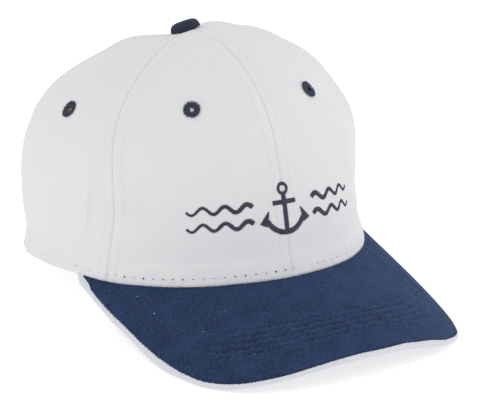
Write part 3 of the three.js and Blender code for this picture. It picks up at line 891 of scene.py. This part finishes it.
def makeEyelet(place, hand):
    stand = eyeletStand(place, hand)
    ring = ringUnder(f"ring_{place}_eyelet_{hand}", stand)
    finishPiece(ring, "navyThread", f"{place}_eyelet_{hand}")
    centres, alongs, normals, sizes = [], [], [], []
    for side in eyeletForm["sides"]:
        bore = eyeletForm["bore"][place]
        middle, half = (side["outer"] + bore) / 2, (side["outer"] - bore) / 2
        for k in range(eyeletForm["threads"]):
            bearing = fullTurn * (k + draw.uniform(-0.25, 0.25)) / eyeletForm["threads"]
            out = np.array([math.cos(bearing), math.sin(bearing), 0])
            out[1] *= eyeletForm["tall"]
            centres.append(out * middle + np.array([0, 0, side["height"]]))
            alongs.append(out)
            normals.append(np.array([0, 0, 1]))
            width = eyeletForm["threadWidth"] * draw.uniform(0.9, 1.1) / 2
            sizes.append([half * draw.uniform(0.94, 1.2), width, eyeletForm["proud"]])
    back = np.array((restTurn.inverted() @ stand).to_3x3())
    origin = np.array((restTurn.inverted() @ stand).translation) / mm
    centres = np.array(centres) @ back.T + origin
    alongs, normals = np.array(alongs) @ back.T, np.array(normals) @ back.T
    beads(f"thread_{place}_eyelet_{hand}", centres, alongs, normals, np.array(sizes),
          "navyThread")
    # Fibres across the hole, coloured as light seen through it: painted light over a little fray.
    if (place, hand) not in eyeletForm["fray_and_hole_light"]:
        return
    count, reach = eyeletForm["fibres"], eyeletForm["bore"][place] * eyeletForm["fibreReach"]
    lying = np.array([[draw.uniform(-1, 1), draw.uniform(-1, 1), 0.1] for n in range(count)])
    lightFibreAt = np.array([
        [draw.uniform(-reach, reach), draw.uniform(-reach, reach), draw.uniform(*eyeletForm["fibreDepth"])]
        for n in range(count)
    ])
    beads(f"fray_{place}_eyelet_{hand}", lightFibreAt @ back.T + origin, lying @ back.T,
          np.cross(lying, [0.3, 0.2, 1]) @ back.T, randomSizes(count, *eyeletForm["fibre"]),
          eyeletForm["fray_and_hole_light"][place, hand])


for hand in ("right", "left"):
    for place in eyelets:
        makeEyelet(place, hand)
print("eyelets made")


# Embroidery: an anchor between waves, in satin stitch. Places are mm across from the centre seam
# and up from the rim, bearings are degrees from straight down.
def ringOf(x, y, radius, low, high):
    bearing = np.linspace(low, high, 60) * deg
    return np.stack([x + radius * np.sin(bearing), y - radius * np.cos(bearing)], -1)


def waveOf(side, height):
    across = np.linspace(*artForm["waves"], 90)
    wave = np.sin((across - artForm["waves"][0]) / artForm["waveLength"] * fullTurn)
    return np.stack([side * across, height + artForm["waveHeight"] * wave], -1)


def lineOf(*corners):
    return np.array(corners, float)


artForm = {
    "pitch": 0.36, "threadWidth": 0.5, "proud": 0.32, "seat": 0.1, "top": 56, "topRise": 0.5, "radius": 97,
    "waves": (18, 53), "waveLength": 11.7, "waveHeight": 1.8,
}
artStrokes = [  # centre line, its width, and its width at the far end
    (ringOf(0, 45.2, 2.6, 0, 360), 1.9, 1.9),
    (lineOf((0, 42.8), (0, 23.5)), 3, 3),
    (lineOf((-6.8, 38.4), (6.8, 38.4)), 2.6, 2.6),
    (ringOf(0, 34.6, 11.6, -66, 66), 3, 3),
    (lineOf((-12.8, 27.6), (-9.6, 34.4)), 5.2, 0.8),
    (lineOf((12.8, 27.6), (9.6, 34.4)), 5.2, 0.8),
]
for side in (-1, 1):
    for height in (29.5, 38):
        artStrokes.append((waveOf(side, height), 2.8, 1.4))


def onFront(place):  # mm across and up to a place on the sewn front and its direction outwards
    turn = place[:, 0] / artForm["radius"]
    rises = np.linspace(0, artForm["topRise"], 160)
    heights = arcLengths(crown(turn[:, None], rises[None, :]), 1)
    rise = np.array([np.interp(place[n, 1], heights[n], rises) for n in range(len(turn))])
    normals = outward(crown, turn, rise)
    return settled(crown(turn, rise), normals, frontCloth), normals


def satin(path, width, farWidth):  # ends, and directions outwards, of the threads across a stroke
    flat = np.concatenate([path, 0 * path[:, :1]], 1)
    at, along, up = paced(flat, 0 * flat + [0, 0, 1], artForm["pitch"], artForm["pitch"] / 2)
    along = unit(along)
    share = np.linspace(0, 1, len(at))[:, None]
    reach = (width + (farWidth - width) * share) / 2 * [[draw.uniform(0.9, 1.12)] for n in range(len(at))]
    across = np.cross(up, along) * reach
    start, normals = onFront(at - across)
    end, normals = onFront(at + across)
    return start, end, normals


fronts = [surfaces["front", hand] for hand in ("right", "left")]
frontCloth = np.concatenate([front["sewn"][front["up"] < artForm["top"]] for front in fronts])
start, end, normals = together([satin(*stroke) for stroke in artStrokes])
size = randomSizes(len(start), 1, artForm["threadWidth"] / 2, artForm["proud"])
size[:, 0] = np.linalg.norm(end - start, axis=1) / 2
beads("front_embroidery", (start + end) / 2 + normals * artForm["seat"], end - start, normals, size,
      "artThread")
print("embroidery made")


# Peak: two covers with a board between them, stitched through in rows, and a piping round the edge
layerForm = {"gap": 0.3, "cover": 1.1, "under": 1.5, "taperStart": 0.86, "taperEnd": 0.45}
peakSewing = {  # mm
    "rows": 5, "halfWidth": 77.3, "widthStep": 2.9, "frontY": -151, "frontStep": 4.0,
    "sideRound": 1.75, "frontRound": 7.1,
    "pitch": 3.3, "dip": 0.65, "dipWidth": 0.62, "puff": 0.22, "puffAway": 2, "puffWidth": 1.3,
    "pucker": 0.22, "puckerPitch": 1.6, "puckerWidth": 2.6,
    "turnFrom": 60,  # turns are measured round a point this far in front of the button
    "fadeTurn": (-80, -56, -36, 36, 50), "fadeShare": (0.12, 0.18, 1, 1, 0.4),  # fainter at the sides
    "unevenness": 0.25, "unevennessReach": 10, "unevenFrom": (0.5, 6),
    "edgeRound": 0.5, "edgeReach": 0.6, "edgeThinReach": 6, "seed": {"top": 21, "under": 41},
    "stitch": (1.05, 0.24, 0.07), "hole": (0.8, 0.28, 0.08, 0.4),  # half sizes, and how far they vary
    # the highlight beads beside the rows are painted highlights on the stitches
    "highlight": (0.7, 0.16, 0.12, 0.4), "highlightAway": 0.9, "highlightShare": 0.3, "rowShift": 0.9,
    "shown": (-44, 38),  # beyond these turns the rows sink into the nap
}
edgeRows = {  # how far the edge lies inside its curve, mm, and how thick it is, on the way round
    "at": (-1, -0.99, -0.9, -0.76, -0.68, -0.6, -0.3, -0.15, 0, 0.1, 0.2, 0.35, 0.5, 0.6, 0.75, 1),
    "inset": (0, 0, 1.2, 1.1, 0.8, 0.3, 0.2, -0.1, -0.4, 2, 2.2, 0.2, -0.6, 0.1, 0.8, 0),
    "size": (1, 1, 1, 1, 0.76, 0.73, 0.67, 0.76, 0.87, 0.96, 1, 0.78, 0.5, 0.6, 0.7, 1),
}
peakFineness = {
    "column": {"top": 0.9, "under": 1.4}, "rows": {"top": 92, "under": 64},  # the underside needs fewer
    "even": (0, 0.08, 0.74, 1), "share": (0, 0.08, 0.56, 1),
}


def edgeCurve(u):
    bearing = u * math.pi / 2
    depth = capForm["reach"][0] + peakForm["length"] + peakForm["endY"]
    side = np.abs(np.sin(bearing)) ** (2 / peakForm["sideRound"])
    front = np.abs(np.cos(bearing)) ** (2 / peakForm["frontRound"])
    return np.stack([np.sign(u) * peakForm["halfWidth"] * side, peakForm["endY"] - depth * front], -1)


def edgeOut(u):
    step = 0.002
    inside = np.clip(u, -1 + step, 1 - step)
    along = edgeCurve(inside + step) - edgeCurve(inside - step)
    return unit(np.stack([along[..., 1], -along[..., 0]], -1))


def peakEdge(u):
    return edgeCurve(u) - edgeOut(u) * eased(u, edgeRows["at"], edgeRows["inset"])[..., None]


def evenStations(step):  # values of u that are evenly spaced along the peak's edge
    fine = np.linspace(-1, 1, 4001)
    length = arcLengths(peakEdge(fine), 0)
    return np.interp(np.linspace(0, length[-1], round(length[-1] / step)), length, fine)


def layersAt(u, thin=1):  # how far the covers' faces lie under the peak's form
    taper = 1 - (1 - layerForm["taperEnd"]) * smoothstep(np.abs(u), layerForm["taperStart"], 1)
    coverBottom = layerForm["gap"] + layerForm["cover"] * taper * thin
    underTop = coverBottom + layerForm["gap"]
    return taper, coverBottom, underTop, underTop + layerForm["under"] * taper * thin


def onPeak(plan, down):
    x, y = plan[..., 0], plan[..., 1]
    return np.stack([x, y, peakZ(x, y) - down / peakLevel(x, y)], -1)


def rowSize(k):
    wide = peakSewing["halfWidth"] - k * peakSewing["widthStep"]
    return wide, peakForm["endY"] - peakSewing["frontY"] - k * peakSewing["frontStep"]


def rowAway(x, y, k):  # distance from stitch row k, positive towards the edge
    wide, deep = rowSize(k)
    a = np.abs(x) / wide
    b = np.maximum(peakForm["endY"] - y, 0) / deep
    side, front = peakSewing["sideRound"], peakSewing["frontRound"]
    steep = np.hypot(side * a ** (side - 1) / wide, front * b ** (front - 1) / deep)
    return (a**side + b**front - 1) / np.maximum(steep, 0.004)


def peakRelief(plan, fromEdge, seed):
    x, y = plan[..., 0], plan[..., 1]
    centre = peakSewing["turnFrom"]
    turn = np.arctan2(x, -y - centre)
    total = 0
    for k in range(peakSewing["rows"]):
        away = rowAway(x, y, k)
        beat = 0.65 + 0.35 * np.cos(turn * centre / peakSewing["pitch"] * fullTurn + k)
        total = total - peakSewing["dip"] * bell(away, peakSewing["dipWidth"]) * beat
        total = total + peakSewing["puff"] * bell(away - peakSewing["puffAway"], peakSewing["puffWidth"])
        waves = unevenness(turn * centre / peakSewing["puckerPitch"], away / 3, seed + k)
        total = total + peakSewing["pucker"] * waves * bell(away, peakSewing["puckerWidth"])
    total = total * eased(turn / deg, peakSewing["fadeTurn"], peakSewing["fadeShare"])
    total = total - peakSewing["edgeRound"] * bell(fromEdge, peakSewing["edgeReach"])
    reach = peakSewing["unevennessReach"]
    soft = smoothstep(fromEdge, *peakSewing["unevenFrom"])
    return total + peakSewing["unevenness"] * unevenness(x / reach, y / reach, seed + 9) * soft


def peakNormal(x, y):
    across = -(peakZ(x + 0.1, y) - peakZ(x - 0.1, y)) / 0.2
    normal = np.stack([across, np.full(across.shape, -peakForm["slope"]), np.ones(across.shape)], -1)
    return normal * peakLevel(x, y)[..., None]


def peakGrid(face):
    u = evenStations(peakFineness["column"][face])[:, None]
    edge = peakEdge(u)
    root = np.stack(rimPlan(u * peakEndTurn, peakForm["tuck"]), -1)
    evenly = np.linspace(0, 1, peakFineness["rows"][face])
    share = np.interp(evenly, peakFineness["even"], peakFineness["share"])
    plan = edge + (root - edge) * share[None, :, None]  # rows closest together where it is stitched
    fromEdge = np.linalg.norm(plan - edge, axis=-1)
    thinning = 1 - eased(u, edgeRows["at"], edgeRows["size"])
    thin = 1 - thinning * bell(fromEdge, peakSewing["edgeThinReach"])
    taper, coverBottom, underTop, underBottom = layersAt(u, thin)
    relief = peakRelief(plan, fromEdge, peakSewing["seed"][face]) * taper
    if face == "top":
        return onPeak(plan, layerForm["gap"] - relief), onPeak(plan, coverBottom), plan
    return onPeak(plan, underBottom + relief)[:, ::-1], onPeak(plan, underTop)[:, ::-1], plan[:, ::-1]


def makeCover(face, node):
    outer, inner, plan = peakGrid(face)
    piece = clothWall("cloth_" + node, outer, inner, plan)
    finishPiece(piece, "navyBrushed", node)
    return outer.reshape(-1, 3)


peakTopPoints = makeCover("top", "peak_top")
makeCover("under", "peak_underside")


def peakRowPath(k, face):
    bearing = np.linspace(-90, 90, 1200) * deg
    wide, deep = rowSize(k)
    x = np.sign(bearing) * wide * np.abs(np.sin(bearing)) ** (2 / peakSewing["sideRound"])
    y = peakForm["endY"] - deep * np.cos(bearing) ** (2 / peakSewing["frontRound"])
    turn = np.arctan2(x, -y)
    clearOfCrown = np.hypot(x, y) > np.hypot(*rimPlan(turn)) + (1 if face == "top" else -8)
    x, y = x[clearOfCrown], y[clearOfCrown]
    plan = np.stack([x, y], -1)
    relief = peakRelief(plan, 20, peakSewing["seed"][face])
    down = layerForm["gap"] - relief if face == "top" else layersAt(0)[3] + relief
    return onPeak(plan, down), peakNormal(x, y) * (1 if face == "top" else -1)


for face in ("top", "under"):
    rows = []
    for k in range(peakSewing["rows"]):
        rows.append(paced(*peakRowPath(k, face), peakSewing["pitch"], k * peakSewing["rowShift"]))
    at, along, normal = together(rows)
    beads(f"peak_{face}_stitches", at, along, normal, randomSizes(len(at), *peakSewing["stitch"]),
          "peakThread")
    turn = np.arctan2(at[:, 0], -at[:, 1] - peakSewing["turnFrom"]) / deg
    shown = (turn > peakSewing["shown"][0]) & (turn < peakSewing["shown"][1])
    at, along, normal = at[shown], along[shown], normal[shown]
    # Dark beads between the stitches: painted shade in the needle holes.
    holeAt = at + unit(along) * peakSewing["pitch"] / 2
    beads(f"peak_{face}_needle_holes", holeAt, along, normal, randomSizes(len(at), *peakSewing["hole"]),
          "peakShade")
    # A share of the stitches get a light bead just beside the row: painted highlight where the puffed
    # cloth catches the light.
    lit = np.array([draw.random() < peakSewing["highlightShare"] for n in range(len(at))])
    highlightAt = (at + np.cross(along, normal) * peakSewing["highlightAway"])[lit]
    beads(f"peak_{face}_thread_highlights", highlightAt, along[lit], normal[lit],
          randomSizes(lit.sum(), *peakSewing["highlight"]), "peakHighlight")

lintForm = {  # x, y and half size of each speck on the peak, mm
    "seen": ((-72, -69, 0.22), (-71, -85.5, 0.34), (-59, -113, 0.2), (-44, -109.5, 0.16)),
    "more": 12, "low": (-68, -140, 0.06), "high": (60, -100, 0.11), "shape": (1.5, 0.8, 0.6),
}
lintSpecks = list(lintForm["seen"])
for n in range(lintForm["more"]):
    lintSpecks.append([draw.uniform(*ends) for ends in zip(lintForm["low"], lintForm["high"])])
x, y, size = np.array(lintSpecks).T
normal = peakNormal(x, y)
at = settled(onPeak(np.stack([x, y], -1), layerForm["gap"]), normal, peakTopPoints)
along = np.cross(normal, [[math.sin(5 * n), math.cos(5 * n), 0] for n in range(len(x))])
beads("peak_lint", at + normal * 0.08, along, normal, size[:, None] * lintForm["shape"],
      "lint")
print("peak made")


# Piping: outline of the roll, out from the covers' edge and down from the peak's upper face, mm
pipingForm = {
    "outline": ((-0.1, 0.55), (0.25, 0.3), (0.6, 0.24), (0.95, 0.42), (1.2, 0.85), (1.32, 1.4),
                (1.34, 2.0), (1.22, 2.55), (0.95, 3.0), (0.6, 3.22), (0.3, 3.2), (0.1, 2.9),
                (0.1, 1.4), (0.05, 0.6)),
    "column": 0.8, "lip": 0.15, "lipPitch": 2.2, "unevenness": 0.05, "taperEnd": 0.8,
    "runIn": ((0.1, 1), (0.3, 2), (0.8, 3.5), (1.6, 5)),  # mm inwards and back, past the covers' end
    "runInRise": (0.1, 0.4, 1.2, 2.2), "runInSize": (0.97, 0.9, 0.75, 0.4),
    "endLap": 0.9, "endLapDown": (0.1, 0.02), "endLapStart": 0.996,  # the lip covers the peak's corners
    "core": 0.3,  # the roll thins towards here
    "fuzz": (-0.985, 0.42),  # the covers' cut edge frays between these shares of the way round
    "fuzzOut": 0.05, "fuzzDown": 0.28, "fuzzGap": (1.1, 3.2), "fuzzSize": (0.45, 0.17, 0.12, 0.4),
}


def makePiping():
    u = evenStations(pipingForm["column"])
    edge, out = peakEdge(u), edgeOut(u)
    drop = pipingForm["taperEnd"]
    size = eased(u, edgeRows["at"], edgeRows["size"])
    size = size * (1 - (1 - drop) * smoothstep(np.abs(u), layerForm["taperStart"], 1))
    past, rise = np.array(pipingForm["runIn"]), np.array(pipingForm["runInRise"])
    pastSize = np.array(pipingForm["runInSize"]) * drop
    edge = np.concatenate([(edge[:1] + past)[::-1], edge, edge[-1:] + past * (-1, 1)])
    out = np.concatenate([out[:1].repeat(len(past), 0), out, out[-1:].repeat(len(past), 0)])
    size = np.concatenate([pastSize[::-1], size, pastSize])
    rise = np.concatenate([rise[::-1], 0 * u, rise])
    lap = smoothstep(np.abs(u), pipingForm["endLapStart"], 1)
    lap = np.concatenate([lap[:1].repeat(len(past)), lap, lap[-1:].repeat(len(past))])
    length = arcLengths(edge, 0)
    rows = []
    for k, (outBy, down) in enumerate(pipingForm["outline"] + pipingForm["outline"][:1]):
        k = k % len(pipingForm["outline"])
        wave = pipingForm["unevenness"] * unevenness(length / 2.5, k / 2, 61)
        if k == 0:  # the lip lies unevenly against the cover
            uneven = unevenness(fullTurn * length / pipingForm["lipPitch"], 0, 62)
            outBy = outBy - pipingForm["lip"] * (0.5 + 0.8 * uneven)
        reach = pipingForm["core"] + (np.asarray(outBy + wave) - pipingForm["core"]) * size
        depth = (down + wave) * size
        if k < 2:
            reach = reach - pipingForm["endLap"] * lap
            depth = depth + (pipingForm["endLapDown"][k] - depth) * smoothstep(lap, 0, 0.5)
        rows.append(onPeak(edge + out * reach[:, None], depth - rise))
    points = np.stack(rows, 1)
    girth = arcLengths(points, 1)
    cloth = np.stack([np.broadcast_to(length[:, None], girth.shape), girth], -1)
    piece, i, j = clothGrid("piping", points, cloth)
    bpy.ops.object.mode_set(mode="EDIT")
    bpy.ops.mesh.select_all(action="SELECT")
    bpy.ops.mesh.remove_doubles(threshold=0.001 * mm)
    bpy.ops.mesh.select_all(action="DESELECT")
    bpy.ops.mesh.select_mode(type="EDGE")
    bpy.ops.mesh.select_non_manifold()
    bpy.ops.mesh.fill_holes(sides=0)
    bpy.ops.mesh.select_all(action="SELECT")
    bpy.ops.mesh.normals_make_consistent(inside=False)
    bpy.ops.object.mode_set(mode="OBJECT")
    finishPiece(piece, "pipingCotton", "peak_piping")


makePiping()

u = evenStations(0.5)
u = u[(u > pipingForm["fuzz"][0]) & (u < pipingForm["fuzz"][1])]
plan = peakEdge(u) + edgeOut(u) * pipingForm["fuzzOut"]
path = onPeak(plan, pipingForm["fuzzDown"] * eased(u, edgeRows["at"], edgeRows["size"]))
at, along, normal = scattered(path, peakNormal(*plan.T), *pipingForm["fuzzGap"])
along = unit(along)
outwards = np.cross(along, normal)
leaning = outwards + along * np.array([[draw.uniform(-0.9, 0.9)] for n in range(len(at))])
beads("peak_edge_fuzz", at + normal * 0.08 + outwards * 0.15, leaning, normal,
      randomSizes(len(at), *pipingForm["fuzzSize"]), "deepShade")
print("piping made")


# Sweatband: a strip of cotton just inside the hem, its inner face showing
bandForm = {
    "outside": 2.35, "wall": 1.2, "height": 30, "lift": 0.6, "columns": 300, "rows": 44,
    "stitches": (5, 26), "dip": 0.3, "dipWidth": 0.7, "pucker": 0.16, "edgeRound": 0.4, "edgeReach": 0.8,
    "topRise": 0.4, "hemReach": 2,
}


def makeSweatband():
    turns = np.linspace(-math.pi, math.pi, bandForm["columns"] + 1)
    rises = np.linspace(0, bandForm["topRise"], 200)
    heights = smoothCrown(turns[:, None], rises[None, :])[..., 2] - hemZ(turns)[:, None]
    wanted = np.linspace(0, bandForm["height"], bandForm["rows"])
    rise = np.array([np.interp(wanted, heights[i], rises) for i in range(len(turns))])
    turn = np.broadcast_to(turns[:, None], rise.shape)
    points, normals = crown(turn, rise), outward(crown, turn, rise)
    along, up = arcLengths(points, 0).mean(1, keepdims=True) + 0 * rise, arcLengths(points, 1)
    edges = bell(up, bandForm["edgeReach"]) + bell(up[:, -1:] - up, bandForm["edgeReach"])
    relief = -bandForm["edgeRound"] * edges
    for height in bandForm["stitches"]:
        beat = stitchBeat(along, sewing["topstitchPitch"])
        relief = relief - bandForm["dip"] * bell(up - height, bandForm["dipWidth"]) * beat
    relief = relief + bandForm["pucker"] * unevenness(turn * 60, up / 9, 71)
    outer = points - normals * bandForm["outside"]
    inner = points - normals * (bandForm["outside"] + bandForm["wall"] + relief)[..., None]
    for side in (outer, inner):
        shift = hemUnderShift(turn, side[..., 0], side[..., 1])
        level = points[..., 2] + shift + bandForm["lift"]
        side[..., 2] += (level - side[..., 2]) * bell(up, bandForm["hemReach"])
    cloth = np.stack([along, up], -1)
    piece = clothWall("cloth_sweatband", inner[::-1], outer[::-1], cloth[::-1])
    finishPiece(piece, "bandCotton", "sweatband")


makeSweatband()
print("sweatband made")


# Button: a shell covered with cloth, gathered under its edge, and the washer inside the crown
buttonForm = {
    "radius": 8.2, "height": 5.6, "seat": -0.1, "share": 0.87, "shift": (-1.1, 0.8),
    "topPower": 0.95, "sidePower": 0.44,  # below 1 the dome is squarer than a ball
    "gathers": 26, "gather": 0.1, "gatherAt": -0.25, "gatherReach": 0.35, "clothReach": 6.2,
    "tiltBack": 14.5, "tiltSide": 12,
    "postRadius": 1.9, "washerRadius": 4.6, "washerTop": -2.5, "washerThick": 0.8,
}


def makeButton():
    bpy.ops.mesh.primitive_uv_sphere_add(segments=78, ring_count=36, radius=1)
    dome = bpy.context.object
    dome.name = dome.data.name = "covered_button"
    points = getPoints(dome)
    bearing, height = np.arctan2(points[:, 1], points[:, 0]), points[:, 2]
    reach = np.hypot(points[:, 0], points[:, 1])
    squared = np.sign(height) * np.abs(height) ** buttonForm["topPower"]
    radius = buttonForm["radius"] * np.minimum(reach, 1) ** buttonForm["sidePower"]
    gathers = buttonForm["gather"] * np.cos(buttonForm["gathers"] * bearing)
    ring = radius + gathers * bell(height - buttonForm["gatherAt"], buttonForm["gatherReach"])
    top = buttonForm["height"] * buttonForm["share"]
    under = buttonForm["height"] - top
    z = np.where(height > 0, squared * top, squared * under) + under + buttonForm["seat"]
    right, back = buttonForm["shift"]
    setPoints(dome, np.stack([ring * np.cos(bearing) + right, ring * np.sin(bearing) + back, z], -1) * mm)
    spread = np.arccos(np.clip(height, -1, 1)) * buttonForm["clothReach"]
    setCloth(dome, np.stack([spread * np.cos(bearing), spread * np.sin(bearing)], -1))
    tops, thick = buttonForm["washerTop"], buttonForm["washerThick"]
    parts = []
    for radius, low, high in (
        (buttonForm["postRadius"], tops - 0.2, buttonForm["seat"] + 1),
        (buttonForm["washerRadius"], tops - thick, tops),
    ):
        bpy.ops.mesh.primitive_cylinder_add(vertices=40, radius=radius * mm, depth=(high - low) * mm)
        part = bpy.context.object
        part.data.transform(Matrix.Translation((0, 0, (high + low) / 2 * mm)))
        applyModifier(part, "BEVEL", width=0.2 * mm, segments=2)
        parts.append(part)
    choose(dome, *parts)
    bpy.ops.object.join()
    sideTilt = Matrix.Rotation(-buttonForm["tiltSide"] * deg, 4, "Y")
    tilt = sideTilt @ Matrix.Rotation(-buttonForm["tiltBack"] * deg, 4, "X")
    dome.data.transform(restTurn @ Matrix.Translation((0, 0, poleForm["height"] * mm)) @ tilt)
    finishPiece(dome, "buttonNavy", "top_button")


makeButton()
print("button made")
